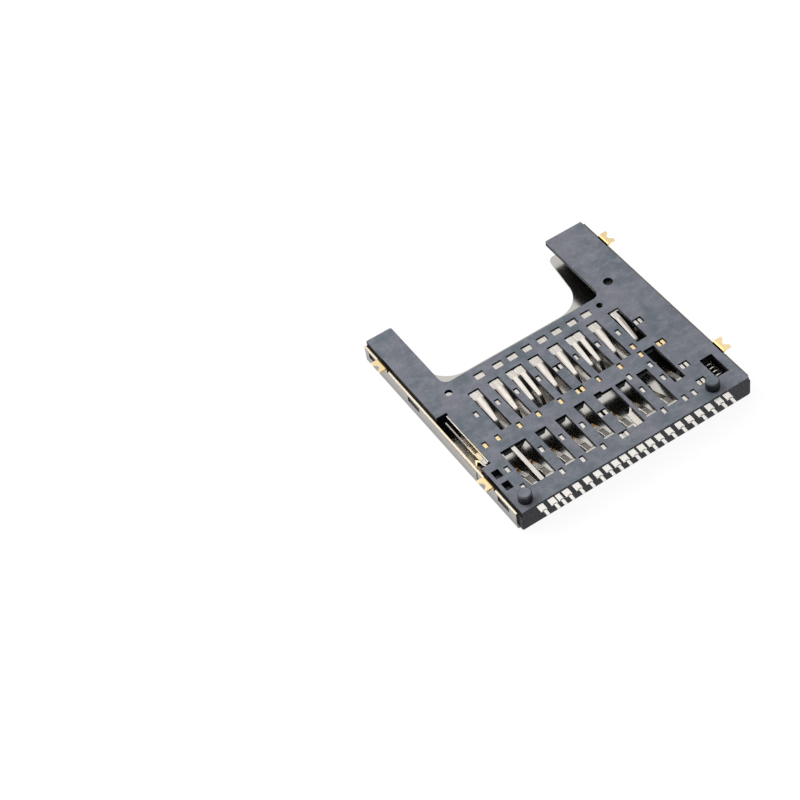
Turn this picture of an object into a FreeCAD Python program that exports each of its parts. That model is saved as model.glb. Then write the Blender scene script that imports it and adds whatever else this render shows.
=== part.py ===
import FreeCAD, Part
import math
import os

# A surface-mount memory card socket of the push-in, push-out kind, with two rows of contacts.
# It is modelled with its board side up, lying on the flat face of its sheet-metal cover.
# Lengths are in millimetres. X runs across the socket and the ejector is on the +X side.
# +Y points to the end where the card goes in, and z = 0 is the outer face of the cover.
# "Behind" is the distance behind the front ends of the two arms.

V = FreeCAD.Vector

# Overall sizes
body_length = 29.05
height = 2.9
sheet = 0.2
strip = 0.15
floor_thickness = 0.45
lead_cover = 0.15
over = 0.1

# Widths from the left side to the right: rail, card slot, bay of the ejector and its wall
rail_width = 1.35
slot_width = 24.1
bay_width = 2.2
bay_wall = 0.35

# Moulding
arm_left = 3.1
arm_right = 4.85
arm_corner = 0.25
notch_depth = 10.3
notch_corner = 0.95
side_step_height = 0.55
side_gap = 0.2
side_clearance = 0.03
cover_clearance = 0.05
bend_chamfer = 0.15
rear_wall = 1.3
rear_wall_at_spring = 0.9
rear_lip = 0.6
rear_chamfer = 0.12
ledge_drop = 0.4
left_pad_width = 2.6
right_pad_width = 1.9
stop_pad_side = 1.1
next_pad_at = 3.25
next_pad_width = 1.65
peg_radius = 0.75
peg_height = 1.1
peg_chamfer = 0.14
peg_from_rear = 1.25
left_peg_from_side = 1.25
right_peg_from_side = 3.65

# Columns of the card's contact pads
first_column = 3.65
pad_pitch = 2.5
last_pad_step = 1.73
detect_step = 2.75
pair_half_pitch = 0.5

# Leads in the floor and solder tails
lead_width = 0.36
thin_lead_width = 0.24
wide_lead_width = 0.66
bar_width = 0.47
lead_offset = 1.45
close_lead_offset = 1.3
middle_lead_offset = 0.92
rear_lead_offset = 1.35
rear_close_offset = 1.2
jog_start = 1.2
jog_end = 0.4
tail_jog_start = 1.35
tail_jog_end = 0.45
bar_offset = 0.92
squeeze_offset = 1.62
wide_lead_offset = 0.86
squeeze_end = 2.4
wide_lead_start = 1.5
wide_lead_end = 0.7
first_tail = 21.2
tail_pitch = 1.25
middle_tail_pitch = 1.05
tail_group_gap = 1.15
tail_head_width = 0.75
tail_head_length = 0.85
narrow_head_width = 0.56
tail_foot_width = 0.35
tail_rise_length = 0.18
tail_foot_length = 0.62
tail_bend = 0.1

# Contacts of the front row
crossbar_gap = 0.65
crossbar_depth = 1.0
neck_width = 0.4
base_inset = 0.1
base_length = 1.0
base_width = 1.1
pair_base_width = 0.88
shoulder_length = 0.2
shoulder_width = 0.87
pair_shoulder_width = 0.6
taper_start = 1.0
knee_distance = 3.1
knee_drop = 0.64
front_low_distance = 4.0
curl_length = 0.65
tip_drop = 1.62
tip_curl = 0.35
nose_width = 0.42
tip_width = 0.36
soft_bend = 0.9
knee_bend = 0.5
tip_bend = 0.35

# Contacts of the rear row
rear_base_width = 1.2
seventh_base_width = 0.97
eighth_base_width = 0.48
rear_base_overlap = 0.5
rear_base_length = 0.25
rear_shoulder_length = 0.25
rear_beam_width = 0.57
rear_tip_width = 0.5
rear_knee_distance = 1.25
rear_knee_drop = 0.35
rear_low_distance = 3.55
side_finger_offset = 0.52
side_finger_width = 0.2
side_finger_length = 1.6
side_finger_drop = 0.5

# Card-detect switch
detect_base_width = 0.62
detect_pad_offset = 1.01
detect_spring_offset = 1.55
detect_bar_depth = 0.55
detect_pad_tail = 3.82
detect_spring_tail = 4.9
detect_pad_start = 2.3

# Windows in the board face
window_width = 1.34
pair_window_width = 2.0
front_window_gap = 0.95
front_window_length = 6.2
detect_window_shift = 0.05
detect_window_length = 5.2
rear_window_land = 2.25
rear_window_length = 5.4
first_window_shift = 0.2
fourth_window_shift = -0.3
last_window_shift = -1.9
guard_length = 0.4
guard_flat_side = 0.27
guard_gap = 0.3
open_window_step = 0.22
open_window_side = 1.4
open_window_front = 0.3
bar_window_width = 1.15
bar_window_length = 0.85
bar_window_inset = 0.2
bar_window_shifts = (-0.33, 0.15, 0, 0.13, -0.2, 0, 0.04, -0.09)
pilot_width = 0.5
pilot_length = 0.82
pair_pilot_width = 1.05
first_pilot_row = 2.45
second_pilot_row = 5.0
middle_pilot_row = 0.15
jog_pilot_row = 0.4
rear_pilot_row = 1.8
switch_pilot_row = 0.8
last_pilot_row = 0.05
left_hole_offset = 2.1
left_hole_behind = 1.25
left_hole_radius = 0.42
detect_hole_offset = 0.55
detect_hole_behind = 1.15
detect_hole_radius = 0.37
boss_hole_from_side = 3.05
boss_hole_behind = 9.2
boss_hole_radius = 0.54
boss_hole_depth = 0.35
boss_core_radius = 0.3
boss_core_depth = 1.2

# Write-protect switch at the left side
protect_lead_from_side = 2.0
switch_slot_from_rear = 7.1
switch_slot_length = 8.3
switch_nook_length = 0.35
switch_nook_width = 0.12
switch_rail = 0.08
blade_from_side = 1.05
blade_inset = 0.35
blade_low = 0.7
blade_plate_start = 2.75
blade_plate_end = 0.65
protect_lead_start = 1.95
ground_blade_from_side = 0.55
ground_blade_inset = 0.85
ground_plate_start = 2.05
ground_plate_end = 0.9
ground_plate_gap = 0.04
ground_held_length = 0.7
ground_finger_length = 1.2
ground_finger_low = 1.2
ground_finger_high = 1.95
ground_finger_gap = 0.02
pocket_width = 0.85
pocket_length = 1.1
pocket_from_side = 0.4
pocket_depth = 1.0
front_pocket_from_rear = 6.1
rear_pocket_from_rear = 4.3

# Cover
cover_front = 0.1
cover_bend = 0.3
wall_edge = 0.48
cover_notch_depth = 8.05
cover_notch_corner = 3.4
cover_tip_corner = 0.8
cover_arm_left = 3.45
cover_arm_right = 5.1
cover_arm_slope = 0.135
notch_ahead = 2.0
tab_length = 1.7
tab_out = 0.85
tab_bend = 0.2
tab_notch_depth = 0.42
tab_notch_mouth = 1.1
tab_notch_floor = 0.4
tab_notch_corner = 0.1
tab_relief = 0.1
tab_relief_depth = 0.2
front_tab_middle = 3.78
rear_tab_from_rear = 5.3
latch_slot_low = 1.35
latch_slot_high = 2.15
latch_clearance = 0.05
latch_proud = 0.12
front_latch_at = 0.9
front_latch_length = 1.5
middle_latch_at = 8.6
middle_latch_length = 2.2
rear_latch_from_rear = 3.85
rear_latch_length = 2.0
bulge_depth = 0.08
bulge_low = 0.6
bulge_high = 2.05
bulge_start = 1.45
bulge_length = 6.4
cover_window_left = 1.25
cover_window_right = 1.35
cover_window_start = 0.95
cover_window_length = 6.65
tongue_bend_from_pivot = 6.5
tongue_tip_from_pivot = 2.4
tongue_left = 0.7
tongue_right = 0.9
tongue_bend = 1.5
tongue_press = 0.15
tongue_head_length = 0.7
tongue_neck_length = 1.3
tongue_neck = 0.2
tongue_slant = 0.1
stop_tab_width = 1.9
stop_tab_x = -0.9
stop_tab_drop = 0.6
stop_tab_clearance = 0.04
stop_tab_bend = 0.15
stop_slot_side = 0.3
edge_bite_radius = 0.2
edge_bite_x = (-8.9, -5.9, 5.9, 9.2)

# Ejector
stroke = 3.9
slider_play = 0.1
sleeve_gap = 0.05
sleeve_length = 6.2
cam_block_length = 7.0
cam_face = 0.8
cam_depth = 0.55
spring_radius = 0.6
spring_wire = 0.2
spring_turns = 17
spring_end_gap = 0.05
bore_clearance = 0.1
bore_length = 5.8
bay_front_gap = 0.3
spring_window_inset = 0.05
spring_window_width = 1.55
spring_window_from_rear = 4.9
spring_window_length = 2.9
pusher_inset = 0.6
pusher_reach = 2.1
pusher_thickness = 1.0
pusher_slope_length = 1.3
pusher_corner = 0.4
rod_wire = 0.3
rod_ahead = 5.0
rod_length = 11.2
rod_bend = 0.25
rod_swing_width = 0.55
rod_start_offset = -0.1
rod_pivot_depth = 1.0
return_offset = 0.45
island_start = 1.5
island_end = 0.6
notch_of_heart = 0.2
pin_clearance = 0.05
leaf_thickness = 0.12
leaf_low = 1.55
leaf_high = 2.15
leaf_reach = 0.4
leaf_tip = 1.5
leaf_crest = 2.5
leaf_root = 3.4
leaf_seat = 4.6
leaf_end = 6.5
leaf_crest_bend = 0.3
leaf_root_bend = 0.6
leaf_root_inset = 0.1
leaf_tip_inset = 0.15
leaf_pocket_depth = 0.35
leaf_pocket_start = 1.2
leaf_pocket_length = 5.4

# Places worked out from the values above
half_length = body_length / 2
half_width = (rail_width + slot_width + bay_width + bay_wall) / 2
slot_left = -half_width + rail_width
slot_right = slot_left + slot_width
cover_inside = sheet
under_floor = cover_inside + cover_clearance
floor_inside = height - floor_thickness
lead_top = height - lead_cover
lead_low = lead_top - strip
lead_middle = lead_top - strip / 2
wall_outside = half_width + sheet + side_gap
wall_inside = wall_outside - sheet
wall_top = height - wall_edge
cover_rear = body_length - rear_lip
columns = [slot_left + first_column + pad_pitch * step for step in range(7)]
last_column = columns[0] - last_pad_step
detect_x = columns[6] + detect_step
detect_pad_lead = detect_x + detect_pad_offset
detect_spring_lead = detect_x + detect_spring_offset
crossbar_start = notch_depth + crossbar_gap
crossbar_end = crossbar_start + crossbar_depth
front_window_start = crossbar_end + front_window_gap
front_window_end = front_window_start + front_window_length
base_start = front_window_start + base_inset
beam_start = base_start + base_length
front_low = beam_start + front_low_distance
rear_window_end = body_length - rear_window_land
rear_window_start = rear_window_end - rear_window_length
protect_lead = -half_width + protect_lead_from_side
blade_x = -half_width + blade_from_side
ground_blade_x = -half_width + ground_blade_from_side
switch_slot_end = body_length - switch_slot_from_rear
switch_slot_start = switch_slot_end - switch_slot_length
slider_middle = slot_right + bay_width / 2
slider_left = slot_right + slider_play
slider_right = slot_right + bay_width - slider_play
slider_low = under_floor + slider_play
slider_high = floor_inside - slider_play
sleeve_end = body_length - rear_wall_at_spring - stroke - sleeve_gap
cam_end = sleeve_end - sleeve_length
slider_front = cam_end - cam_block_length
bore_start = sleeve_end - bore_length
bay_front = slider_front - bay_front_gap
rod_pivot = slider_front - rod_ahead
rod_pivot_x = slider_middle + rod_start_offset + rod_swing_width / 2
rod_end = rod_pivot + rod_length
tab_middles = (front_tab_middle, body_length - rear_tab_from_rear)
latches = ((front_latch_at, front_latch_length), (middle_latch_at, middle_latch_length),
           (body_length - rear_latch_from_rear, rear_latch_length))


def back(distance):
    """The Y of a point at a distance behind the front ends of the arms."""
    return half_length - distance


PLANES = {
    "x": lambda a, b, c: V(c, a, b),
    "y": lambda a, b, c: V(a, c, b),
    "z": lambda a, b, c: V(a, b, c),
}


def corner_of(before, here, after, radius):
    """Both ends and the middle of the arc that rounds one corner of an outline."""
    to_before = (before - here).normalize()
    to_after = (after - here).normalize()
    half_angle = to_before.getAngle(to_after) / 2
    reach = radius / math.tan(half_angle)
    inward = (to_before + to_after).normalize()
    middle = here + inward * (radius / math.sin(half_angle) - radius)
    return here + to_before * reach, middle, here + to_after * reach


def outline(points, axis="z", level=0.0):
    """Closed wire from (a, b) points, or (a, b, corner radius) points for round corners."""
    place = PLANES[axis]
    corners = [place(point[0], point[1], level) for point in points]
    stops = []
    for index, point in enumerate(points):
        radius = point[2] if len(point) > 2 else 0
        here = corners[index]
        if radius > 0:
            stops.append(corner_of(corners[index - 1], here, corners[(index + 1) % len(points)], radius))
        else:
            stops.append((here,))
    edges = []
    for index, stop in enumerate(stops):
        if len(stop) == 3:
            edges.append(Part.Arc(*stop).toShape())
        end = stops[(index + 1) % len(stops)][0]
        if stop[-1].distanceToPoint(end) > 1e-6:
            edges.append(Part.makeLine(stop[-1], end))
    return Part.Wire(edges)


def prism(points, axis, start, end):
    """Solid of an outline in the plane across an axis, from start to end along that axis."""
    face = Part.Face(outline(points, axis, start))
    return face.extrude(PLANES[axis](0, 0, end - start))


def block(x_low, x_high, front, rear, z_low, z_high):
    """Box given by X, by distances behind the front end, and by Z."""
    size = (x_high - x_low, rear - front, z_high - z_low)
    return Part.makeBox(*size, V(x_low, back(rear), z_low))


def strip_outline(path, width):
    """Outline of a strip of even width along a centre line of (a, b) or (a, b, bend) points."""
    half = width / 2
    points = [V(point[0], point[1], 0) for point in path]
    left, right = [], []
    for index, point in enumerate(points):
        ways = []
        if index > 0:
            ways.append((point - points[index - 1]).normalize())
        if index < len(points) - 1:
            ways.append((points[index + 1] - point).normalize())
        normals = [V(-way.y, way.x, 0) for way in ways]
        if len(normals) == 1:
            offset = normals[0] * half
            turn = 0
        else:
            offset = (normals[0] + normals[1]) * (half / (1 + normals[0].dot(normals[1])))
            turn = ways[0].cross(ways[1]).z
        bend = path[index][2] if len(path[index]) > 2 else 0
        grow = half if turn < 0 else -half
        left.append((point.x + offset.x, point.y + offset.y, max(bend + grow, 0) if bend else 0))
        right.append((point.x - offset.x, point.y - offset.y, max(bend - grow, 0) if bend else 0))
    return left + right[::-1]


def joined(shapes):
    """One solid of pieces that touch, with the seams between them taken out."""
    return shapes[0].multiFuse(shapes[1:]).removeSplitter()


def lead(path, width=lead_width):
    """Flat conductor in the floor, along (x, distance behind the front) points."""
    turned = [(x, back(distance)) for x, distance in path]
    return prism(strip_outline(turned, width), "z", lead_low, lead_top)


def lead_route(lead_x, start, rear_x, tail_x):
    """Way of a lead from the front row past the rear windows to its tail."""
    return [(lead_x, start), (lead_x, rear_window_start - jog_start),
            (rear_x, rear_window_start - jog_end), (rear_x, body_length - tail_jog_start),
            (tail_x, body_length - tail_jog_end), (tail_x, body_length)]


def tail(x, head_width=tail_head_width):
    """Solder tail behind the rear wall: a wide head, a step up and a narrow foot."""
    head_end = body_length + tail_head_length
    head = block(x - head_width / 2, x + head_width / 2, body_length - strip, head_end,
                 lead_low, lead_top)
    foot_level = height - strip / 2
    rise_end = head_end + tail_rise_length
    path = [(back(head_end - tail_head_length / 2), lead_middle),
            (back(head_end), lead_middle, tail_bend),
            (back(rise_end), foot_level, tail_bend),
            (back(rise_end + tail_foot_length), foot_level)]
    foot = prism(strip_outline(path, strip), "x", x - tail_foot_width / 2, x + tail_foot_width / 2)
    return head.fuse(foot)


def beam(x, path, widths):
    """Spring beam: a bent strip seen from the side, trimmed to its widths seen from above."""
    widest = max(width for distance, width in widths)
    side = prism(strip_outline(path, strip), "x", x - widest, x + widest)
    left = [(x - width / 2, back(distance)) for distance, width in widths]
    right = [(x + width / 2, back(distance)) for distance, width in reversed(widths)]
    return side.common(prism(left + right, "z", 0, height))


def front_beam(x, base, shoulder):
    """Spring beam of the front row. It leans into the slot towards the rear."""
    knee = beam_start + knee_distance
    tip = front_low + curl_length
    path = [(back(base_start), lead_middle),
            (back(beam_start), lead_middle, soft_bend),
            (back(knee), lead_middle - knee_drop, knee_bend),
            (back(front_low), lead_middle - tip_drop, tip_bend),
            (back(tip), lead_middle - tip_drop + tip_curl)]
    widths = [(base_start, base), (beam_start, base), (beam_start + shoulder_length, shoulder),
              (beam_start + taper_start, shoulder), (knee, nose_width), (tip + strip, tip_width)]
    return beam(x, path, widths)


def rear_beam(x, base, window_end):
    """Spring beam of the rear row. It leans into the slot towards the front."""
    start = window_end + rear_base_overlap
    root = window_end - rear_base_length
    low = root - rear_low_distance
    tip = low - curl_length
    path = [(back(start), lead_middle),
            (back(root), lead_middle, soft_bend),
            (back(root - rear_knee_distance), lead_middle - rear_knee_drop, soft_bend),
            (back(low), lead_middle - tip_drop, tip_bend),
            (back(tip), lead_middle - tip_drop + tip_curl)]
    widths = [(start, base), (root, base), (root - rear_shoulder_length, rear_beam_width),
              (low, rear_beam_width), (tip - strip, rear_tip_width)]
    return beam(x, path, widths)


# Front row from contact 1: X of the beam, of its lead, and of the lead beside the rear windows
FRONT_ROW = (
    (columns[6], columns[6] + lead_offset, columns[6] + rear_lead_offset),
    (columns[5] + pair_half_pitch, columns[5] + close_lead_offset, columns[5] + rear_close_offset),
    (columns[5] - pair_half_pitch, columns[5] - lead_offset, columns[4] + squeeze_offset),
    (columns[4], columns[4] - middle_lead_offset, columns[4] - middle_lead_offset),
    (columns[3], columns[3] + middle_lead_offset, columns[3] + middle_lead_offset),
    (columns[2] + pair_half_pitch, columns[2] + close_lead_offset, columns[2] + rear_close_offset),
    (columns[2] - pair_half_pitch, columns[2] - lead_offset, columns[2] - rear_lead_offset),
    (columns[1], columns[1] - close_lead_offset, columns[1] - rear_lead_offset),
    (columns[0], columns[0] - lead_offset, columns[0] - bar_offset),
)
PAIRED = (2, 3, 6, 7)

# Rear row from contact 1: X of the beam, width of its base, and the rear end of its window
REAR_ROW = (
    (columns[6], rear_base_width, rear_window_end + first_window_shift),
    (columns[5], rear_base_width, rear_window_end),
    (columns[4], pair_base_width, rear_window_end),
    (columns[3], rear_base_width, rear_window_end + fourth_window_shift),
    (columns[2], rear_base_width, rear_window_end),
    (columns[1], rear_base_width, rear_window_end),
    (columns[0], seventh_base_width, rear_window_end),
    (last_column, eighth_base_width, rear_window_end),
    (columns[6] + pad_pitch, rear_beam_width, rear_window_end + last_window_shift),
)


def tail_places():
    """X of each tail by the name of its contact, in three groups from the ejector side."""
    groups = (
        (tail_pitch, ("rear_contact_9", "front_contact_1", "rear_contact_1", "front_contact_2",
                      "rear_contact_2", "front_contact_3")),
        (middle_tail_pitch, ("rear_contact_3", "front_contact_4", "front_contact_5",
                             "rear_contact_4", "front_contact_6", "rear_contact_5")),
        (tail_pitch, ("front_contact_7", "rear_contact_6", "front_contact_8", "rear_contact_7")),
    )
    places = {}
    x = slot_left + first_tail
    for pitch, names in groups:
        for step, name in enumerate(names):
            places[name] = x - step * pitch
        x = places[names[-1]] - tail_group_gap
    places["front_contact_9"] = columns[0] - bar_offset
    places["rear_contact_8"] = last_column
    return places


def front_root(x, lead_x, width):
    """Crossbar of a front contact and the neck from it to the base of the beam."""
    low = min(x - neck_width / 2, lead_x - width / 2)
    high = max(x + neck_width / 2, lead_x + width / 2)
    crossbar = block(low, high, crossbar_start, crossbar_end, lead_low, lead_top)
    neck = block(x - neck_width / 2, x + neck_width / 2, crossbar_start, base_start + strip,
                 lead_low, lead_top)
    return [crossbar, neck]


def front_contact(number, tail_x):
    """Front contact: beam, crossbar near the notch, and a lead back to its tail."""
    x, lead_x, rear_x = FRONT_ROW[number - 1]
    if number in PAIRED:
        pieces = [front_beam(x, pair_base_width, pair_shoulder_width)]
    else:
        pieces = [front_beam(x, base_width, shoulder_width)]
    pieces += front_root(x, lead_x, lead_width)
    middle = (crossbar_start + crossbar_end) / 2
    if number == 3:
        pieces += squeezed_lead(lead_x, middle, rear_x, tail_x)
    elif number == 9:
        pieces += bar_lead(lead_x, middle, rear_x)
    else:
        pieces += [lead(lead_route(lead_x, middle, rear_x, tail_x)), tail(tail_x)]
    return joined(pieces)


def squeezed_lead(lead_x, start, squeeze_x, tail_x):
    """Lead that squeezes between two windows, widens behind them and ends in its tail."""
    wide_x = columns[4] + wide_lead_offset
    squeezed_to = rear_window_end - squeeze_end
    wide_from = rear_window_end - wide_lead_start
    wide_to = rear_window_end + wide_lead_end
    thin = lead([(lead_x, start), (lead_x, rear_window_start - jog_start),
                 (squeeze_x, rear_window_start - jog_end), (squeeze_x, squeezed_to),
                 (wide_x, wide_from)], thin_lead_width)
    wide = lead([(wide_x, wide_from - over), (wide_x, wide_to)], wide_lead_width)
    last = lead([(wide_x, wide_to - over), (wide_x, body_length - tail_jog_start),
                 (tail_x, body_length - tail_jog_end), (tail_x, body_length)])
    return [thin, wide, last, tail(tail_x)]


def bar_lead(lead_x, start, bar_x):
    """Lead that shows as a straight bar across the widest window."""
    jogged_to = rear_window_start - jog_end
    side = lead([(lead_x, start), (lead_x, rear_window_start - jog_start), (bar_x, jogged_to),
                 (bar_x, jogged_to + over)])
    bar = lead([(bar_x, jogged_to), (bar_x, body_length)], bar_width)
    return [side, bar, tail(bar_x, narrow_head_width)]


def rear_contact(number, tail_x):
    """Rear contact: beam, base plate and a short lead to its tail."""
    x, base, window_end = REAR_ROW[number - 1]
    plate_end = window_end + rear_base_overlap
    route = [(x, plate_end - strip), (x, plate_end + strip), (tail_x, body_length - strip),
             (tail_x, body_length)]
    pieces = [rear_beam(x, base, window_end), lead(route), tail(tail_x)]
    if number == 8:
        pieces += side_finger(x, base, window_end)
    return joined(pieces)


def side_finger(x, base, window_end):
    """Narrow finger beside the last rear contact, joined to its base under the board face."""
    middle = x - side_finger_offset
    half = side_finger_width / 2
    plate_end = window_end + rear_base_overlap
    tie = block(middle - half, x - base / 2 + over, window_end + strip, plate_end, lead_low, lead_top)
    path = [(back(plate_end), lead_middle), (back(window_end), lead_middle, soft_bend),
            (back(window_end - side_finger_length), lead_middle - side_finger_drop)]
    return [tie, prism(strip_outline(path, strip), "x", middle - half, middle + half)]


def make_contacts():
    """Every contact spring of both card rows, by name."""
    places = tail_places()
    parts = {}
    for number in range(1, 10):
        name = "front_contact_%d" % number
        parts[name] = front_contact(number, places[name])
    for number in range(1, 10):
        name = "rear_contact_%d" % number
        parts[name] = rear_contact(number, places[name])
    return parts


def make_detect_spring():
    """Card-detect spring: a narrow beam at the ejector side, with its lead beside it."""
    bar_start = base_start - detect_bar_depth
    tail_x = columns[6] + detect_spring_tail
    bar = block(detect_x - detect_base_width / 2, detect_spring_lead + lead_width / 2, bar_start,
                base_start + strip, lead_low, lead_top)
    side = lead([(detect_spring_lead, bar_start + strip),
                 (detect_spring_lead, body_length - tail_jog_start),
                 (tail_x, body_length - tail_jog_end), (tail_x, body_length)])
    return joined([front_beam(detect_x, detect_base_width, detect_base_width), bar, side, tail(tail_x)])


def make_detect_pad():
    """Fixed side of the card-detect switch: its finger lies over the spring's tip."""
    finger_middle = front_low + curl_length
    tail_x = columns[6] + detect_pad_tail
    finger = lead([(detect_pad_lead, finger_middle), (detect_x - detect_base_width / 2, finger_middle)],
                  wide_lead_width)
    side = lead([(detect_pad_lead, front_window_start + detect_pad_start),
                 (detect_pad_lead, body_length - tail_jog_start),
                 (tail_x, body_length - tail_jog_end), (tail_x, body_length)])
    return joined([finger, side, tail(tail_x)])


def make_protect_spring():
    """Write-protect blade: it stands on edge beside the card and is folded from its lead."""
    plate = block(blade_x - strip / 2, protect_lead + lead_width / 2,
                  switch_slot_end - blade_plate_start, switch_slot_end - blade_plate_end,
                  lead_low, lead_top)
    blade = block(blade_x - strip / 2, blade_x + strip / 2, switch_slot_start + blade_inset,
                  switch_slot_end - blade_inset, blade_low, height - switch_rail)
    side = lead([(protect_lead, switch_slot_end - protect_lead_start), (protect_lead, body_length)])
    return joined([plate, blade, side, tail(protect_lead)])


def make_protect_ground():
    """Grounded blade: a folded plate, a blade on edge, and a finger against the cover wall."""
    held_to = switch_slot_end + ground_held_length
    plate_start = switch_slot_end - ground_plate_start
    left = ground_blade_x - strip / 2
    plate = block(left, blade_x - strip / 2 - ground_plate_gap, plate_start,
                  switch_slot_end - ground_plate_end, lead_low, lead_top)
    leg = block(left, left + strip, plate_start, held_to, blade_low, lead_top)
    blade = block(left, left + strip, switch_slot_start + ground_blade_inset, plate_start + over,
                  blade_low, lead_low)
    wall = -wall_inside - bulge_depth
    finger_path = [(ground_blade_x, back(plate_start + over)),
                   (wall + strip / 2 + ground_finger_gap, back(plate_start + over + ground_finger_length))]
    finger = prism(strip_outline(finger_path, strip), "z", ground_finger_low, ground_finger_high)
    return joined([plate, leg, blade, finger])


def housing_outline():
    """Plan of the moulding: two arms with the finger notch between them."""
    left = -half_width + arm_left
    right = half_width - arm_right
    return [(-half_width, back(0)), (left, back(0), arm_corner), (left, back(notch_depth), notch_corner),
            (right, back(notch_depth), notch_corner), (right, back(0), arm_corner),
            (half_width, back(0)), (half_width, back(body_length)), (-half_width, back(body_length))]


def window(x_low, x_high, front, rear, low=floor_inside - over):
    """Cutter for a rectangular window that opens in the board face."""
    return block(x_low, x_high, front, rear, low, height + over)


def guarded_window(x_low, x_high, flat_start, flat_end, front, rear):
    """Cutter for a rear window. A thin guard stays across its front end, below the leads."""
    guard = front + guard_length
    deep = [(x_low, back(rear)), (x_low, back(guard)), (flat_end, back(guard)),
            (x_high, back(front)), (x_high, back(rear))]
    if flat_start > x_low:
        deep[1:2] = [(x_low, back(front)), (flat_start, back(front)), (flat_start, back(guard))]
    through = prism(deep, "z", floor_inside - over, height + over)
    return [through, window(x_low, x_high, front, rear, lead_low)]


def contact_windows():
    """Windows over the beams of both rows, and the small ones over the crossbars."""
    half = window_width / 2
    cuts = []
    for index, x in enumerate(columns):
        side = pair_window_width / 2 if index in (2, 5) else half
        cuts.append(window(x - side, x + side, front_window_start, front_window_end))
    middle = detect_x + detect_window_shift
    cuts.append(window(middle - half, middle + half, front_window_start,
                       front_window_start + detect_window_length))
    for number in (1, 2, 4, 5, 6, 9):
        x, base, end = REAR_ROW[number - 1]
        cuts += guarded_window(x - half, x + half, x - half, x + guard_flat_side,
                               end - rear_window_length, end)
    x = columns[4]
    front = rear_window_start - open_window_front
    cuts += guarded_window(x - half, x + open_window_step, x - half, x + open_window_step - over,
                           front, rear_window_end)
    cuts.append(window(x + open_window_step - over, x + open_window_side, rear_window_start,
                       rear_window_end + open_window_front))
    left = last_column - half
    cuts += guarded_window(left, columns[0] + half, left + guard_gap, columns[0],
                           rear_window_start, rear_window_end)
    bars = [row for number, row in enumerate(FRONT_ROW, 1) if number < 9]
    for (x, lead_x, rear_x), shift in zip(bars, bar_window_shifts):
        outward = math.copysign(1, lead_x - x)
        middle = (x + lead_x + outward * (lead_width - neck_width) / 2) / 2 + shift
        start = crossbar_start + bar_window_inset
        cuts.append(window(middle - bar_window_width / 2, middle + bar_window_width / 2, start,
                           start + bar_window_length, lead_top))
    return cuts


def pilot_holes():
    """Small holes over the leads, where the mould's pins held them. Close leads share a wide one."""
    alone = (1, 2, 3, 6, 7, 8, 9)
    ahead = [FRONT_ROW[number - 1][1] for number in alone]
    behind = [FRONT_ROW[number - 1][2] for number in (1, 2, 6, 7, 8)]
    protect = [protect_lead]
    first = front_window_start + first_pilot_row
    middle = front_window_end + middle_pilot_row
    rear = rear_window_start + rear_pilot_row
    switch = rear_window_end - switch_pilot_row
    last = rear_window_end - last_pilot_row
    rows = (
        (first, ahead),
        (front_window_start + second_pilot_row, ahead[:1]),
        (middle, ahead + protect),
        (rear_window_start - jog_pilot_row, behind[:2]),
        (rear, behind + protect),
        (switch, protect),
        (last, behind + [REAR_ROW[8][0]]),
    )
    half = pilot_width / 2
    cuts = []
    for front, places in rows:
        for x in places:
            cuts.append(window(x - half, x + half, front, front + pilot_length, lead_top))
    half = pair_pilot_width / 2
    x = (columns[3] + columns[4]) / 2
    for front in (first, middle, rear, last):
        cuts.append(window(x - half, x + half, front, front + pilot_length))
    x = (detect_pad_lead + detect_spring_lead) / 2
    for front in (first, middle, rear, switch):
        cuts.append(window(x - half, x + half, front, front + pilot_length))
    return cuts


def round_hole(x, behind, radius, depth):
    """Cutter for a round hole that opens in the board face."""
    return Part.makeCylinder(radius, depth + over, V(x, back(behind), height - depth))


def round_holes():
    """Round holes of the board face: two beside the crossbars and a stepped one in the arm."""
    through = floor_thickness + over
    boss_x = half_width - boss_hole_from_side
    return [
        round_hole(columns[0] - left_hole_offset, notch_depth + left_hole_behind, left_hole_radius,
                   through),
        round_hole(detect_x - detect_hole_offset, notch_depth + detect_hole_behind,
                   detect_hole_radius, through),
        round_hole(boss_x, boss_hole_behind, boss_hole_radius, boss_hole_depth),
        round_hole(boss_x, boss_hole_behind, boss_core_radius, boss_core_depth),
    ]


def switch_cuts():
    """Slot of the write-protect switch and the two blind pockets behind it."""
    slot_side = blade_x + strip / 2
    left = -half_width + pocket_from_side
    cuts = [
        block(-wall_outside, slot_side, switch_slot_start, switch_slot_end, 0, height + over),
        block(-wall_outside, slot_side + switch_nook_width, switch_slot_start,
              switch_slot_start + switch_nook_length, 0, height + over),
    ]
    for from_rear in (front_pocket_from_rear, rear_pocket_from_rear):
        front = body_length - from_rear
        cuts.append(window(left, left + pocket_width, front, front + pocket_length,
                           height - pocket_depth))
    return cuts


def peg(x):
    """Locating peg on the board face, with a chamfered end."""
    base = V(x, back(body_length - peg_from_rear), floor_inside)
    straight = peg_height + floor_thickness - peg_chamfer
    body = Part.makeCylinder(peg_radius, straight, base)
    end = Part.makeCone(peg_radius, peg_radius - peg_chamfer, peg_chamfer, base + V(0, 0, straight))
    return body.fuse(end)


def side_band(side):
    """Band of the moulding beside the cover wall, with the lugs that lock in the wall's slots."""
    root = side * (half_width - bay_wall)
    face = side * (wall_inside - side_clearance)
    step = height - side_step_height
    points = [(root, under_floor), (face - side * bend_chamfer, under_floor),
              (face, under_floor + bend_chamfer), (face, step), (root, step)]
    pieces = [prism(points, "y", back(body_length), back(cover_front))]
    inner, outer = sorted((root, side * (wall_outside - latch_proud)))
    for front, length in latches:
        pieces.append(block(inner, outer, front + latch_clearance, front + length - latch_clearance,
                            latch_slot_low + latch_clearance, latch_slot_high - latch_clearance))
    return pieces


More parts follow.
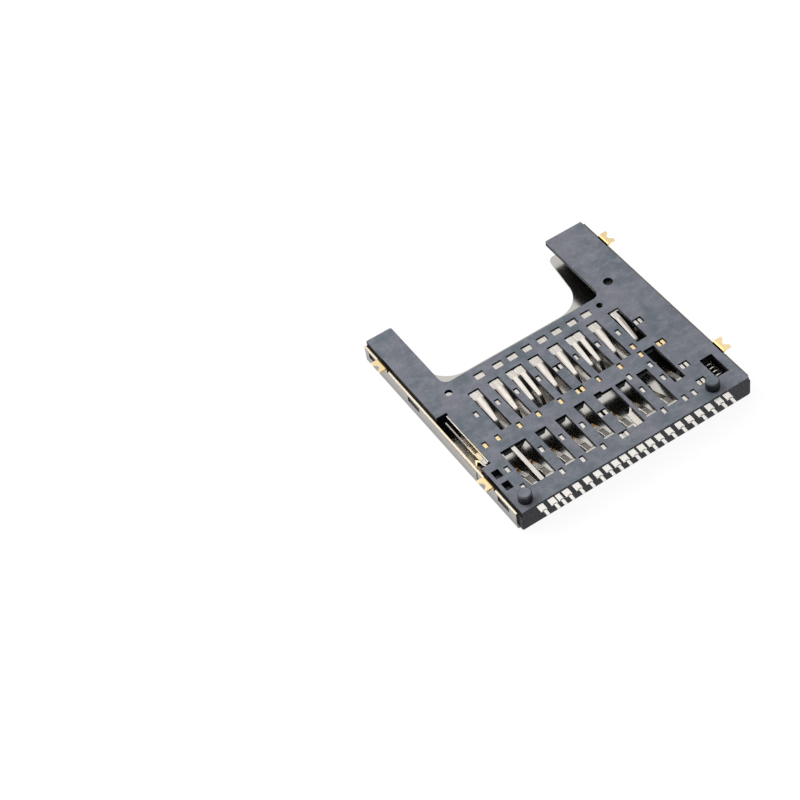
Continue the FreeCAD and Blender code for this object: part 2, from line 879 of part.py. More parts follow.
def make_housing(metal):
    """The moulding, cut to fit every strip of metal that is moulded into it."""
    pieces = [
        prism(housing_outline(), "z", floor_inside, height),
        block(-half_width, slot_left, 0, body_length, under_floor, height),
        block(slot_right, half_width, 0, bay_front, under_floor, height),
        block(half_width - bay_wall, half_width, 0, body_length, under_floor, height),
        block(-half_width, half_width, body_length - rear_wall, body_length, under_floor, height),
        peg(-half_width + left_peg_from_side),
        peg(half_width - right_peg_from_side),
    ]
    pieces += side_band(-1) + side_band(1)
    window_left = slot_right + spring_window_inset
    window_start = body_length - spring_window_from_rear
    cuts = [
        block(slot_right - 2 * slider_play, half_width - bay_wall, bay_front,
              body_length - rear_wall_at_spring, 0, floor_inside),
        window(window_left, window_left + spring_window_width, window_start,
               window_start + spring_window_length),
    ]
    cuts += contact_windows() + pilot_holes() + round_holes() + switch_cuts()
    cuts += rear_ledge_cuts() + rod_recess()
    body = pieces[0].multiFuse(pieces[1:])
    return body.cut(cuts).cut(metal).removeSplitter()


def rear_ledge_cuts():
    """The rear wall's cover side: low between its raised pads, with a slot for the stop tab."""
    front = cover_rear + cover_clearance
    rear = body_length - rear_chamfer
    next_pad = stop_tab_x + next_pad_at
    spans = ((-half_width + left_pad_width, stop_tab_x - stop_pad_side),
             (stop_tab_x + stop_pad_side, next_pad),
             (next_pad + next_pad_width, half_width - right_pad_width))
    cuts = [block(low, high, front, rear, 0, under_floor + ledge_drop) for low, high in spans]
    half = stop_tab_width / 2 + stop_tab_clearance
    cuts.append(block(stop_tab_x - half, stop_tab_x + half, cover_rear - stop_slot_side,
                      cover_rear + sheet + stop_slot_side, 0, stop_tab_drop + sheet + cover_clearance))
    return cuts


def rod_recess():
    """Channel and blind pivot hole for the cam rod in the block in front of the bay."""
    half = rod_swing_width / 2 + rod_wire
    channel = block(rod_pivot_x - half, rod_pivot_x + half, rod_pivot - rod_wire, bay_front, 0, cam_face)
    press = block(slot_right, half_width, rod_pivot + cover_window_start, bay_front, 0,
                  under_floor + tongue_press + over)
    hole = Part.makeCylinder(rod_wire / 2 + pin_clearance, rod_pivot_depth + over,
                             V(rod_pivot_x, back(rod_pivot), cam_face - over))
    return [channel, press, hole]


def cover_notch():
    """Cutter for the finger notch of the cover, with its leaning arms."""
    slope = cover_arm_slope * (cover_notch_depth - cover_front)
    left = -wall_outside + cover_arm_left
    right = wall_outside - cover_arm_right
    lead_in = cover_arm_slope * notch_ahead
    points = [(left - lead_in, back(cover_front - notch_ahead)), (left, back(cover_front)),
              (left + slope, back(cover_notch_depth), cover_notch_corner),
              (right - slope, back(cover_notch_depth), cover_notch_corner),
              (right, back(cover_front)), (right + lead_in, back(cover_front - notch_ahead))]
    return prism(points, "z", -over, height + over)


def round_arm_tips(shape):
    """Rounds the inner front corners of the cover's arms."""
    left = -wall_outside + cover_arm_left
    right = wall_outside - cover_arm_right
    near = strip / 10
    picked = []
    for edge in shape.Edges:
        box = edge.BoundBox
        upright = box.ZLength > sheet - near and box.XLength < near and box.YLength < near
        at_front = abs(box.YMax - back(cover_front)) < near
        if upright and at_front and min(abs(box.XMax - left), abs(box.XMax - right)) < near:
            picked.append(edge)
    return shape.makeFillet(cover_tip_corner, picked)


def solder_tab(side, middle):
    """Fish-tailed solder tab, turned out from the wall's edge into the board plane."""
    centre = side * (wall_outside - sheet / 2)
    reach = side * (wall_outside + tab_out)
    level = height - sheet / 2
    path = [(centre, wall_top - tab_relief_depth), (centre, level, tab_bend), (reach, level)]
    tab = prism(strip_outline(path, sheet), "y", back(middle + tab_length / 2),
                back(middle - tab_length / 2))
    mouth = tab_notch_mouth / 2
    floor = tab_notch_floor / 2
    depth = side * tab_notch_depth
    points = [(reach + side * over, back(middle - mouth - over)), (reach, back(middle - mouth)),
              (reach - depth, back(middle - floor), tab_notch_corner),
              (reach - depth, back(middle + floor), tab_notch_corner),
              (reach, back(middle + mouth)), (reach + side * over, back(middle + mouth + over))]
    return tab.cut(prism(points, "z", 0, height + over))


def make_tongue():
    """Tongue of the cover, bent in to press on the cam rod."""
    flat = sheet / 2
    root = rod_pivot + cover_window_start + cover_window_length + over
    tip = rod_pivot + tongue_tip_from_pivot
    left = slider_middle - tongue_left
    right = slider_middle + tongue_right
    hook = slider_middle + cover_window_right - over
    path = [(back(root), flat), (back(rod_pivot + tongue_bend_from_pivot), flat, tongue_bend),
            (back(tip), flat + tongue_press)]
    side = prism(strip_outline(path, sheet), "x", left, hook)
    points = [(left, back(root)), (left + tongue_slant, back(tip)),
              (hook, back(tip + tongue_slant)),
              (hook - tongue_slant, back(tip + tongue_head_length), tongue_neck),
              (right - tongue_neck, back(tip + tongue_neck_length), tongue_neck * 2),
              (right, back(root))]
    return side.common(prism(points, "z", -1, height))


def wall_cuts(side):
    """Latch slots of one wall and the reliefs beside its tabs."""
    inner, outer = sorted((side * (wall_inside - over), side * (wall_outside + over)))
    cuts = []
    for front, length in latches:
        cuts.append(block(inner, outer, front, front + length, latch_slot_low, latch_slot_high))
    for middle in tab_middles:
        for end in (-1, 1):
            edge = middle + end * tab_length / 2
            first, last = sorted((edge, edge + end * tab_relief))
            cuts.append(block(inner, outer, first, last, wall_top - tab_relief_depth, wall_top + over))
    return cuts


def make_cover():
    """Cover folded from one sheet: flat face, two walls, tabs, tongue and stop tab."""
    centre = wall_outside - sheet / 2
    flat = sheet / 2
    path = [(-centre, wall_top), (-centre, flat, cover_bend), (centre, flat, cover_bend), (centre, wall_top)]
    shell = prism(strip_outline(path, sheet), "y", back(cover_rear), back(cover_front))
    shell = round_arm_tips(shell.cut(cover_notch()))
    bulge_front = switch_slot_start + bulge_start
    bulge_rear = bulge_front + bulge_length
    shell = shell.fuse(block(-wall_outside - bulge_depth, -wall_outside, bulge_front, bulge_rear,
                             bulge_low, bulge_high))
    window_front = rod_pivot + cover_window_start
    cuts = [
        block(-wall_inside - bulge_depth, -wall_inside, bulge_front, bulge_rear, bulge_low, bulge_high),
        block(slider_middle - cover_window_left, slider_middle + cover_window_right, window_front,
              window_front + cover_window_length, -over, sheet + over),
    ]
    cuts += wall_cuts(-1) + wall_cuts(1)
    for x in edge_bite_x:
        cuts.append(Part.makeCylinder(edge_bite_radius, 1, V(x, back(cover_rear), -sheet)))
    tabs = [solder_tab(side, middle) for side in (-1, 1) for middle in tab_middles]
    stop_at = cover_rear + sheet / 2 + cover_clearance
    turned = [(back(cover_rear - over), flat), (back(stop_at), flat, stop_tab_bend),
              (back(stop_at), stop_tab_drop + sheet)]
    stop = prism(strip_outline(turned, sheet), "x", stop_tab_x - stop_tab_width / 2,
                 stop_tab_x + stop_tab_width / 2)
    return shell.cut(cuts).multiFuse(tabs + [make_tongue(), stop]).removeSplitter()


def make_slider():
    """Ejector slider: cam block, sleeve for the spring, and the arm that pushes the card."""
    left, right = slider_left, slider_right
    cam_block = block(left, right, slider_front, cam_end, cam_face, slider_high)
    sleeve = block(left, right, cam_end, sleeve_end, slider_low, slider_high)
    rear = sleeve_end - pusher_inset
    front = rear - pusher_thickness
    arm_end = left - pusher_reach
    arm_points = [(left, back(front - pusher_slope_length)), (left, back(rear)),
                  (arm_end, back(rear)), (arm_end, back(front + pusher_corner)),
                  (arm_end + pusher_corner, back(front))]
    arm = prism(arm_points, "z", slider_low, slider_high)
    bore_radius = spring_radius + spring_wire / 2 + bore_clearance
    bore = Part.makeCylinder(bore_radius, bore_length + over,
                             V(slider_middle, back(sleeve_end + over), (slider_low + slider_high) / 2),
                             V(0, 1, 0))
    pocket_front = slider_front + leaf_pocket_start
    leaf_pocket = block(left - over, left + leaf_pocket_depth, pocket_front,
                        pocket_front + leaf_pocket_length, leaf_low - pin_clearance,
                        leaf_high + pin_clearance)
    body = cam_block.multiFuse([sleeve, arm]).cut([bore, leaf_pocket])
    return body.cut(heart_groove()).removeSplitter()


def heart_groove():
    """Groove of the heart cam round its island, on the cover side of the cam block."""
    start_x = slider_middle + rod_start_offset
    half = rod_wire / 2 + pin_clearance
    far = rod_end - stroke

    def path_x(distance):
        return start_x + rod_swing_width * (rod_end - distance) / stroke

    front = far - half - pin_clearance
    outer_x = path_x(far) + half
    home = rod_end + half
    return_x = start_x - return_offset
    island_low = rod_end - island_start
    outer = [(path_x(home) - half, back(home), half / 2), (path_x(home) + half, back(home), half / 2),
             (outer_x, back(far)), (outer_x, back(front), half / 2),
             (return_x - half, back(front), half / 2), (return_x - half, back(island_low))]
    low, high = rod_end - island_start / 2, far + island_end
    island = [(path_x(low) - half, back(low)), (path_x(high) - half, back(high)),
              (start_x, back(high + notch_of_heart)), (return_x + half, back(high - notch_of_heart / 2)),
              (return_x + half, back(island_low))]
    groove = prism(outer, "z", cam_face - over, cam_face + cam_depth)
    return groove.cut(prism(island, "z", cam_face - over * 2, cam_face + cam_depth + over))


def make_spring():
    """Coil spring between the slider's bore and the rear wall, at its free length."""
    start = bore_start + spring_end_gap + spring_wire / 2
    end = body_length - rear_wall_at_spring - spring_end_gap - spring_wire / 2
    length = end - start
    helix = Part.makeHelix(length / spring_turns, length, spring_radius)
    section = Part.Wire(Part.makeCircle(spring_wire / 2, V(spring_radius, 0, 0), V(0, 1, 0)))
    coil = Part.Wire(helix.Edges).makePipeShell([section], True, True)
    coil.rotate(V(0, 0, 0), V(1, 0, 0), -90)
    coil.translate(V(slider_middle, back(end), (slider_low + slider_high) / 2))
    return coil


def make_rod():
    """Cam rod bent from wire: a pivot end in the moulding and a pin end in the groove."""
    start = V(rod_pivot_x, back(rod_pivot), cam_face - pin_clearance - rod_wire / 2)
    end = V(slider_middle + rod_start_offset, back(rod_end), start.z)
    way = (end - start).normalize()
    up = V(0, 0, 1)
    rise = up * rod_bend
    run = way * rod_bend
    corner = rod_bend * (1 - math.sqrt(0.5))
    foot = start + up * (rod_pivot_depth + rod_wire / 2)
    pin = end + up * (cam_depth + rod_wire / 2 - pin_clearance)
    edges = [
        Part.makeLine(foot, start + rise),
        Part.Arc(start + rise, start + (up + way) * corner, start + run).toShape(),
        Part.makeLine(start + run, end - run),
        Part.Arc(end - run, end + (up - way) * corner, end + rise).toShape(),
        Part.makeLine(end + rise, pin),
    ]
    section = Part.Wire(Part.makeCircle(rod_wire / 2, foot, up))
    return Part.Wire(edges).makePipeShell([section], True, False)


def make_leaf():
    """Leaf spring on the slider that snaps into the notch of the card."""
    seat = slider_left + leaf_pocket_depth - leaf_thickness / 2
    path = [(seat, back(slider_front + leaf_end)),
            (seat, back(slider_front + leaf_seat), leaf_root_bend),
            (slider_left + leaf_root_inset, back(slider_front + leaf_root), leaf_root_bend),
            (slider_left - leaf_reach, back(slider_front + leaf_crest), leaf_crest_bend),
            (slider_left + leaf_tip_inset, back(slider_front + leaf_tip))]
    return prism(strip_outline(path, leaf_thickness), "z", leaf_low, leaf_high)


def main():
    parts = make_contacts()
    parts["detect_spring"] = make_detect_spring()
    parts["detect_pad"] = make_detect_pad()
    parts["protect_spring"] = make_protect_spring()
    parts["protect_ground"] = make_protect_ground()
    parts["housing"] = make_housing(list(parts.values()))
    parts["cover"] = make_cover()
    parts["ejector_slider"] = make_slider()
    parts["ejector_spring"] = make_spring()
    parts["cam_rod"] = make_rod()
    parts["card_lock_leaf"] = make_leaf()
    os.makedirs("parts", exist_ok=True)
    for name, shape in parts.items():
        print(name, shape.isValid(), len(shape.Solids), round(shape.Volume, 3))
        shape.exportStep("parts/%s.step" % name)


main()
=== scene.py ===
import bmesh
import bpy
import math
from mathutils import Matrix, Vector


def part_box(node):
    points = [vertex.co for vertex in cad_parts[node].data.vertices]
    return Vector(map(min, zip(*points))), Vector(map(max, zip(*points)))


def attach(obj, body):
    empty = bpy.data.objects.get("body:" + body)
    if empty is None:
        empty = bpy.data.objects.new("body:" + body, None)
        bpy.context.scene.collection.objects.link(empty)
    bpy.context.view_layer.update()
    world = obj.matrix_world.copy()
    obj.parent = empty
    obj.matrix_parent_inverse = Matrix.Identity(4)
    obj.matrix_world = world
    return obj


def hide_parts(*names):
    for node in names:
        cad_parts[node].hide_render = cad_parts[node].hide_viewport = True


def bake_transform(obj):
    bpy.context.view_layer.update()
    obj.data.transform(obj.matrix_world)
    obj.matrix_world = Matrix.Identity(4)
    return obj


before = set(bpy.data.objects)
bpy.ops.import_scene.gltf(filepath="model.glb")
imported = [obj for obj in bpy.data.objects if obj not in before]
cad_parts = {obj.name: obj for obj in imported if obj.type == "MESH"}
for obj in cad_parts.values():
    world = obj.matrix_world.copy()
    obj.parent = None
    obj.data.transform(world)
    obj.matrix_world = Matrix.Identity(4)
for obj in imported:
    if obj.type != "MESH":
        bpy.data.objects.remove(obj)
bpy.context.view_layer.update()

MM = 0.001

# The camera of the photograph, in millimetres from the middle of the cover's flat face
camera_place = Vector((-71.8, -119.8, 159.6)) * MM
camera_aim = Vector((-14.55, 7.63, 0.0)) * MM
camera_roll = math.radians(-11.0)
camera_focal_pixels = 2018
picture_pixels = 800
sensor_width = 36.0
nearest_seen = 1 * MM

# Surroundings: where their light comes from, where it begins as the cosine of the angle from there,
# how sharply it gathers, and how bright they are at both ends
light_from = (0.15, 0.3, 0.942)
light_begins = 0.2
light_gathers = 4.0
bright_side = 1.45
dark_side = 0.05

# Soft box: its place and width in millimetres and its power in watts
soft_box_place = (-150, 150, 210)
soft_box_width = 250
soft_box_power = 0.55

# Table: half its width in metres, how far it lies below the cover, and how bright it looks
table_half_width = 1.5
table_drop = 0.01 * MM
table_glow = 0.93

# Places on the socket that the finishes and the painted shade follow, in millimetres
front_end = 14.525
wall_outside = 14.4
wall_inside = 14.2
wall_top = 2.42
sheet_middle = 0.1
# Heights of the thin ledges in the windows, painted nearly black as painted shade
shaded_window_ledges = (2.31, 2.75)
low_ends = 2.2
protect_leads = -12.6

# Where the values of a blotched pattern mostly lie
blotch_range = (0.3, 0.7)

# The beams of the front row: one in each column, except for two columns that have a pair
first_column = -9.0
column_pitch = 2.5
pairs_middle = -0.25
pairs_apart = 7.5
pair_half_pitch = 0.5
# Distances from a beam's middle between which its edges are painted grey as painted shade
shaded_beam_edges = (0.25, 0.6)

# Stretches of the contacts, in millimetres behind the arms' front ends
front_beams = (14.0, 18.6)
gold_leads = (17.9, 20.8)
# The rear row's free ends, painted dark as painted shade
shaded_rear_ends = (20.5, 22.9)
rear_touch_points = (22.9, 23.7)
tails_from = 29.0

# Wire of the ejector's spring
wire_radius = 0.1 * MM
wire_sides = 10
spring_turns = 17
steps_per_turn = 28

# Rear half of the grounded blade's folded plate, in millimetres
plate_low = (-13.6, front_end - 21.65, 2.62)
plate_high = (-13.06, front_end - 20.9, 2.75)
plate_bevel = 0.02


def linear(code):
    """Linear colour with alpha 1 of an sRGB hex value."""
    parts = [int(code[i:i + 2], 16) / 255 for i in (1, 3, 5)]
    return [p / 12.92 if p <= 0.04045 else ((p + 0.055) / 1.055) ** 2.4 for p in parts] + [1.0]


def add(tree, kind, links=None, **settings):
    """Adds one shader node. Links maps its sockets to other sockets, plain values or hex colours."""
    node = tree.nodes.new("ShaderNode" + kind)
    for name, value in settings.items():
        setattr(node, name, value)
    for socket, source in (links or {}).items():
        if isinstance(source, bpy.types.NodeSocket):
            tree.links.new(source, node.inputs[socket])
        else:
            node.inputs[socket].default_value = linear(source) if isinstance(source, str) else source
    return node


def blank(name):
    """New material, its node tree, and the object coordinates there, in mm."""
    material = bpy.data.materials.new(name)
    material.use_nodes = True
    tree = material.node_tree
    tree.nodes.clear()
    place = add(tree, "TexCoord").outputs["Object"]
    scaled = add(tree, "VectorMath", {0: place, 1: (1 / MM, 1 / MM, 1 / MM)}, operation="MULTIPLY")
    return material, tree, scaled.outputs[0]


def dress(tree, inputs):
    """Puts a Principled shader with these inputs on the material's output."""
    shader = add(tree, "BsdfPrincipled", inputs)
    add(tree, "OutputMaterial", {"Surface": shader.outputs[0]})


def blotches(tree, place, size, stretch=(1, 1, 1), detail=2.0, roughness=0.5):
    """Random pattern whose blotches are about size mm across, drawn out by stretch."""
    scale = [1 / (size * s) for s in stretch]
    mapped = add(tree, "VectorMath", {0: place, 1: scale}, operation="MULTIPLY").outputs[0]
    return add(tree, "TexNoise", {"Vector": mapped, "Scale": 1.0, "Detail": detail,
                                  "Roughness": roughness}).outputs[0]


def where(tree, *slopes, most=1.0):
    """Mask that is most where all slopes are full, and 0 where one of them hasn't begun. A slope is a
    value, the place where it begins, and the place above or below that where it is full."""
    mask = most
    for value, start, full in slopes:
        rise = add(tree, "MapRange", {0: value, 1: start, 2: full}, interpolation_type="SMOOTHSTEP")
        mask = add(tree, "Math", {0: mask, 1: rise.outputs[0]}, operation="MULTIPLY").outputs[0]
    return mask


def between(value, limits, soft):
    """The two slopes of a mask that is full between two limits, with edges that are soft each way."""
    low, high = limits
    return (value, low - soft, low + soft), (value, high + soft, high - soft)


def coats(tree, colour, *layers):
    """Colour with coats laid over it in turn. A coat is a mask and its own colour."""
    for mask, coat in layers:
        colour = add(tree, "Mix", {"Factor": mask, 6: colour, 7: coat}, data_type="RGBA").outputs[2]
    return colour


def touch(tree, pattern, smooth, dull, depth, edge):
    """Shader inputs for how a surface feels: its roughness follows the pattern from smooth to dull, its
    relief is depth mm deep, and its edges are rounded to a radius of edge mm."""
    start, full = blotch_range
    rough = add(tree, "MapRange", {0: pattern, 1: start, 2: full, 3: smooth, 4: dull},
                interpolation_type="SMOOTHSTEP")
    rounded = add(tree, "Bevel", {"Radius": edge * MM}, samples=4)
    relief = add(tree, "Bump", {"Height": pattern, "Distance": depth * MM, "Strength": 1.0,
                                "Normal": rounded.outputs[0]})
    return {"Roughness": rough.outputs[0], "Normal": relief.outputs[0]}


def distance(tree, value, middle):
    """How far a value is from middle, either way."""
    shifted = add(tree, "Math", {0: value, 1: middle}, operation="SUBTRACT").outputs[0]
    return add(tree, "Math", {0: shifted}, operation="ABSOLUTE").outputs[0]


def off_middle(tree, across):
    """Distance in mm across a front beam from its middle, where it is single and where it is in a pair."""
    shifted = add(tree, "Math", {0: across, 1: first_column}, operation="SUBTRACT").outputs[0]
    from_column = add(tree, "Math", {0: shifted, 1: column_pitch / 2}, operation="PINGPONG").outputs[0]
    from_pair = distance(tree, distance(tree, across, pairs_middle), pairs_apart / 2)
    in_pair = add(tree, "Math", {0: from_pair, 1: column_pitch / 2}, operation="LESS_THAN").outputs[0]
    from_beam = distance(tree, from_column, pair_half_pitch)
    return add(tree, "Mix", {"Factor": in_pair, 2: from_column, 3: from_beam}, data_type="FLOAT").outputs[0]


def lit_flat_faces(tree):
    """Mask of the faces that lie flat, against upright walls. The housing paints them lighter than the walls,
    as a painted sheen of the light from above.
    """
    leaning, flat = 0.4, 0.9
    normal = add(tree, "TexCoord").outputs["Normal"]
    upward = add(tree, "SeparateXYZ", {0: normal}).outputs["Z"]
    return where(tree, (distance(tree, upward, 0.0), leaning, flat))


def moulded_housing():
    """Glass-filled liquid crystal polymer. The flat faces are painted blue-grey, a painted sheen of the light
    from above, with the plastic's own cloudy blotches and specks. The upright walls are nearly black, its own
    dark colour deepened into painted shade, and the thin ledges in the windows are painted nearly black as
    painted shade. The specks are as long as the fibres, 0.2 mm."""
    material, tree, place = blank("moulded_lcp_housing")
    level = add(tree, "SeparateXYZ", {0: place}).outputs["Z"]
    flow = blotches(tree, place, 3.0, (1.0, 1.8, 1.0), detail=5.0, roughness=0.65)
    cloud = blotches(tree, place, 1.0, (1.6, 1.0, 1.0), detail=4.0, roughness=0.65)
    fibres = blotches(tree, place, 0.2, detail=3.0)
    # Flat-face colour: a painted blue-grey sheen, with the plastic's own flow, cloud and fibre tones
    face = coats(tree, "#6b767f",
                 (where(tree, (flow, 0.36, 0.64)), "#8a8a96"),
                 (where(tree, (cloud, 0.42, 0.68), most=0.6), "#999da7"),
                 (where(tree, (fibres, 0.3, 0.75), most=0.35), "#6c7078"),
                 # Painted shade: the thin ledges in the windows are painted nearly black
                 (where(tree, *between(level, shaded_window_ledges, 0.03)), "#040405"))
    # Flat faces take the painted sheen colour; upright walls keep the dark colour, deepened into painted shade
    dress(tree, {"Base Color": coats(tree, "#1b1e28", (lit_flat_faces(tree), face)), "IOR": 1.6,
                 "Specular IOR Level": 0.3, **touch(tree, fibres, 0.42, 0.6, 0.008, 0.04)})
    return material


def moulded_slider():
    """The same kind of plastic in black, with a slight polish from sliding."""
    material, tree, place = blank("moulded_lcp_slider")
    fibres = blotches(tree, place, 0.2)
    dress(tree, {"Base Color": coats(tree, "#26262a", (fibres, "#34343a")), "IOR": 1.6,
                 **touch(tree, fibres, 0.35, 0.5, 0.004, 0.04)})
    return material


def plated_cover():
    """Stainless sheet with a nickel flash: satin outside and bright inside. The walls are painted darker, a
    painted reflection of the shaded table beside them, darker towards the bottom. The sheared edges carry a
    painted highlight, pale, on the left and painted shade, brown, on the right. The tabs are gold, painted
    deeper in their bends as painted shade. The lines of its rolling are drawn 0.14 mm wide, because real
    ones are too fine to show."""
    material, tree, place = blank("nickel_plated_stainless")
    side, _, level = add(tree, "SeparateXYZ", {0: place}).outputs
    across = distance(tree, side, 0.0)
    rolled = blotches(tree, place, 0.14, (1.0, 30.0, 1.0))
    flat = coats(tree, "#c3c0bb", (blotches(tree, place, 5.0), "#cecbc6"))
    # Painted reflection of the shaded table: the walls are painted darker than the flat sheet, darker towards
    # the bottom
    wall = coats(tree, "#7f7c7a", (where(tree, (level, 0.5, 1.9)), "#96928c"))
    # Painted highlight and painted shade on the sheared top edges of the walls: pale on the left, brown on the
    # right
    sheared = coats(tree, "#fbecd0", (where(tree, (side, -1.0, 1.0)), "#6f675c"))
    # Real gold on the tabs, painted deeper in their bends as painted shade
    gold = coats(tree, "#d9b274", (where(tree, (across, wall_outside, wall_outside + 0.15)), "#f9e0ae"))
    rim = where(tree, (across, wall_inside - 0.1, wall_inside - 0.05),
                (level, wall_top - 0.03, wall_top - 0.01))
    colour = coats(tree, flat,
                   (where(tree, (across, wall_inside - 0.25, wall_inside - 0.1)), wall),
                   (rim, sheared),
                   (where(tree, (level, wall_top + 0.02, wall_top + 0.06)), gold))
    inside = where(tree, (level, sheet_middle - 0.01, sheet_middle + 0.01))
    smooth = add(tree, "Mix", {"Factor": inside, 2: 0.24, 3: 0.16}, data_type="FLOAT").outputs[0]
    dull = add(tree, "Mix", {"Factor": inside, 2: 0.34, 3: 0.19}, data_type="FLOAT").outputs[0]
    dress(tree, {"Base Color": colour, "Metallic": 1.0, **touch(tree, rolled, smooth, dull, 0.0003, 0.03)})
    return material


def contact_strip():
    """Copper alloy strip: bright nickel with fine grain, gold on the leads and touch points, thinner on the
    write-protect leads, tin on the tails, painted dark on the rear row's free ends and painted grey on the
    front beams' edges, both painted shade. The grain is drawn 0.13 mm wide, because a real one is too fine
    to show."""
    material, tree, place = blank("plated_copper_alloy_strip")
    side, along, level = add(tree, "SeparateXYZ", {0: place}).outputs
    behind = add(tree, "Math", {0: front_end, 1: along}, operation="SUBTRACT").outputs[0]
    grain = blotches(tree, place, 0.13, (1.0, 16.0, 1.0))
    tails = where(tree, (behind, tails_from - 0.1, tails_from + 0.1))
    low = (level, low_ends + 0.1, low_ends - 0.1)
    card_side = where(tree, (side, protect_leads - 0.1, protect_leads + 0.1))
    thickness = add(tree, "Mix", {"Factor": card_side, 2: 0.6, 3: 1.0}, data_type="FLOAT").outputs[0]
    # Painted shade: the front beams' edges are painted grey, as if turned away from the light
    edges = where(tree, *between(behind, front_beams, 0.15),
                  *between(off_middle(tree, side), shaded_beam_edges, 0.12))
    colour = coats(tree, "#cfc9c1",
                   (where(tree, (grain, *blotch_range)), "#e6e1da"),
                   (tails, "#efece7"),
                   # Painted shade: the rear row's free ends, low in the windows, are painted dark brown
                   (where(tree, *between(behind, shaded_rear_ends, 0.2), low), "#40342a"),
                   (where(tree, *between(behind, rear_touch_points, 0.2), low), "#b8823f"),
                   (where(tree, *between(behind, gold_leads, 0.3), most=thickness), "#f8deaa"),
                   (edges, "#9c948c"))
    smooth = add(tree, "Mix", {"Factor": tails, 2: 0.18, 3: 0.34}, data_type="FLOAT").outputs[0]
    dull = add(tree, "Mix", {"Factor": tails, 2: 0.26, 3: 0.34}, data_type="FLOAT").outputs[0]
    dress(tree, {"Base Color": colour, "Metallic": 1.0, **touch(tree, grain, smooth, dull, 0.0006, 0.05)})
    return material


def drawn_wire():
    """Drawn spring steel: bright, with fine marks of the drawing, 0.06 mm wide so that they show."""
    material, tree, place = blank("drawn_spring_wire")
    marks = blotches(tree, place, 0.06, (1.0, 1.0, 4.0))
    dress(tree, {"Base Color": coats(tree, "#cfccc6", (marks, "#e6e3de")), "Metallic": 1.0,
                 **touch(tree, marks, 0.2, 0.32, 0.0006, 0.01)})
    return material


def matt_table():
    """Matt pale table top. Camera and gloss see it nearly white, so that it joins the background."""
    material, tree, _ = blank("matt_pale_table")
    rays = add(tree, "LightPath").outputs
    seen = rays["Is Camera Ray"]
    for other in ("Is Glossy Ray", "Is Transmission Ray"):
        seen = add(tree, "Math", {0: seen, 1: rays[other]}, operation="MAXIMUM").outputs[0]
    glow = add(tree, "Math", {0: seen, 1: table_glow}, operation="MULTIPLY").outputs[0]
    dress(tree, {"Base Color": "#585858", "Roughness": 0.8, "Emission Color": "#ffffff",
                 "Emission Strength": glow})
    return material


def new_piece(name, bm, material):
    """Object at the origin with this shape and finish."""
    mesh = bpy.data.meshes.new(name)
    bm.to_mesh(mesh)
    bm.free()
    mesh.materials.append(material)
    piece = bpy.data.objects.new(name, mesh)
    bpy.context.scene.collection.objects.link(piece)
    return piece


def coil_spring(material):
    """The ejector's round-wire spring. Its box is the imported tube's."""
    low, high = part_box("ejector_spring")
    middle = (low + high) / 2
    radius = (high.x - low.x) / 2 - wire_radius
    length = high.y - low.y - 2 * wire_radius
    steps = spring_turns * steps_per_turn
    bm = bmesh.new()
    ring = bmesh.ops.create_circle(bm, cap_ends=False, radius=wire_radius, segments=wire_sides)
    start = Matrix.Translation((middle.x + radius, low.y + wire_radius, middle.z))
    bmesh.ops.transform(bm, matrix=start, verts=ring["verts"])
    bmesh.ops.spin(bm, geom=bm.verts[:] + bm.edges[:], cent=(middle.x, low.y, middle.z), axis=(0, -1, 0),
                   dvec=(0, length / steps, 0), angle=2 * math.pi * spring_turns, steps=steps,
                   use_duplicate=False)
    bmesh.ops.holes_fill(bm, edges=[e for e in bm.edges if e.is_boundary], sides=0)
    bmesh.ops.recalc_face_normals(bm, faces=bm.faces[:])
    spring = new_piece("wound_spring", bm, material)
    spring.data.shade_smooth()
    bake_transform(spring)
    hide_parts("ejector_spring")


def ground_plate_end(material):
    """The rear half of the folded plate that joins the grounded blade to its leg."""
    low, high = Vector(plate_low) * MM, Vector(plate_high) * MM
    bm = bmesh.new()
    bmesh.ops.create_cube(bm, size=1)
    bmesh.ops.scale(bm, vec=high - low, verts=bm.verts[:])
    bmesh.ops.translate(bm, vec=(low + high) / 2, verts=bm.verts[:])
    bmesh.ops.bevel(bm, geom=bm.edges[:], offset=plate_bevel * MM, affect="EDGES", segments=2,
                    profile=0.5, material=-1)
    bmesh.ops.recalc_face_normals(bm, faces=bm.faces[:])
    plate = new_piece("ground_plate_end", bm, material)
    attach(plate, "socket_body")


def finish_socket():
    """Gives every node the material of its real finish, and adds the two pieces made here."""
    strip, wire = contact_strip(), drawn_wire()
    finishes = {"housing": moulded_housing(), "ejector_slider": moulded_slider(), "cover": plated_cover(),
                "cam_rod": wire, "card_lock_leaf": wire, "ejector_spring": wire}
    for name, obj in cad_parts.items():
        obj.data.materials.clear()
        obj.data.materials.append(finishes.get(name, strip))
    coil_spring(wire)
    ground_plate_end(strip)


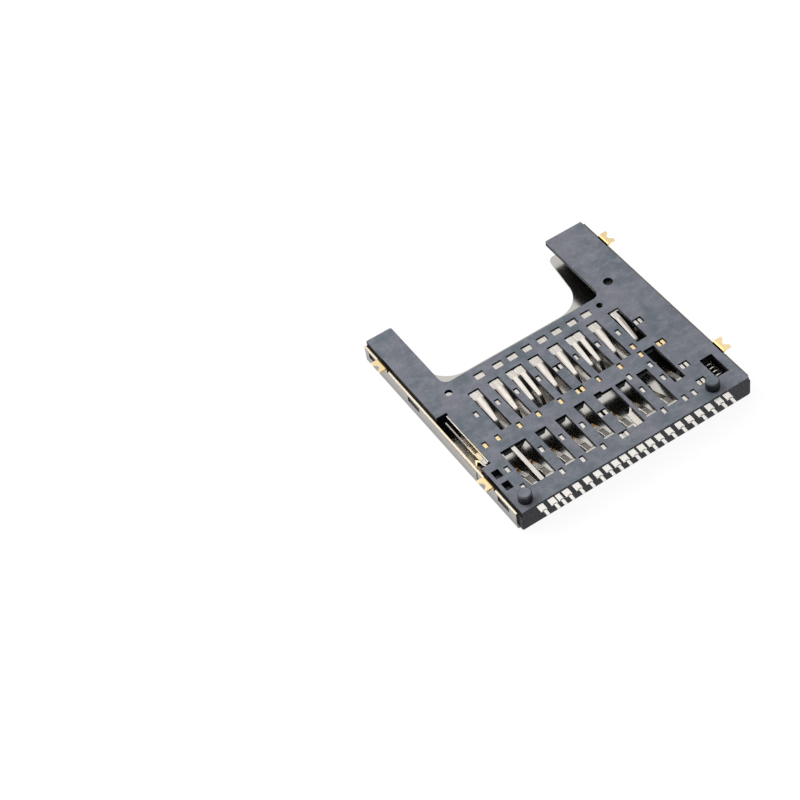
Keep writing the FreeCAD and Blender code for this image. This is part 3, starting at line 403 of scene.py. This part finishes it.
def studio_table():
    """Flat table just under the cover."""
    bm = bmesh.new()
    bmesh.ops.create_grid(bm, x_segments=1, y_segments=1, size=table_half_width)
    bmesh.ops.translate(bm, vec=(0, 0, -table_drop), verts=bm.verts[:])
    table = new_piece("table", bm, matt_table())


def studio_world():
    """Surroundings that light the socket from one side. The camera sees them white."""
    world = bpy.data.worlds.new("white_studio")
    bpy.context.scene.world = world
    world.use_nodes = True
    tree = world.node_tree
    tree.nodes.clear()
    direction = add(tree, "TexCoord").outputs["Generated"]
    facing = add(tree, "VectorMath", {0: direction, 1: light_from}, operation="DOT_PRODUCT").outputs["Value"]
    rise = add(tree, "MapRange", {0: facing, 1: light_begins, 2: 1.0}).outputs[0]
    curve = add(tree, "Math", {0: rise, 1: light_gathers}, operation="POWER").outputs[0]
    light = add(tree, "MapRange", {0: curve, 3: dark_side, 4: bright_side}).outputs[0]
    seen = add(tree, "LightPath").outputs["Is Camera Ray"]
    strength = add(tree, "Mix", {"Factor": seen, 2: light, 3: 1.0}, data_type="FLOAT").outputs[0]
    background = add(tree, "Background", {"Color": "#ffffff", "Strength": strength})
    add(tree, "OutputWorld", {"Surface": background.outputs[0]})


def soft_box():
    """Square soft box, turned to the socket."""
    data = bpy.data.lights.new("soft_box", "AREA")
    data.shape = "SQUARE"
    data.size = soft_box_width * MM
    data.energy = soft_box_power
    lamp = bpy.data.objects.new("soft_box", data)
    lamp.location = Vector(soft_box_place) * MM
    lamp.rotation_euler = (-lamp.location).to_track_quat("-Z", "Y").to_euler()
    bpy.context.scene.collection.objects.link(lamp)


def camera():
    """The camera of the photograph."""
    data = bpy.data.cameras.new("camera")
    data.sensor_width = sensor_width
    data.lens = camera_focal_pixels / picture_pixels * sensor_width
    data.clip_start = nearest_seen
    obj = bpy.data.objects.new("camera", data)
    look = (camera_aim - camera_place).to_track_quat("-Z", "Y").to_matrix().to_4x4()
    obj.matrix_world = Matrix.Translation(camera_place) @ look @ Matrix.Rotation(camera_roll, 4, "Z")
    bpy.context.scene.collection.objects.link(obj)
    bpy.context.scene.camera = obj


finish_socket()
studio_table()
studio_world()
soft_box()
camera()
bpy.context.scene.view_settings.view_transform = "Standard"
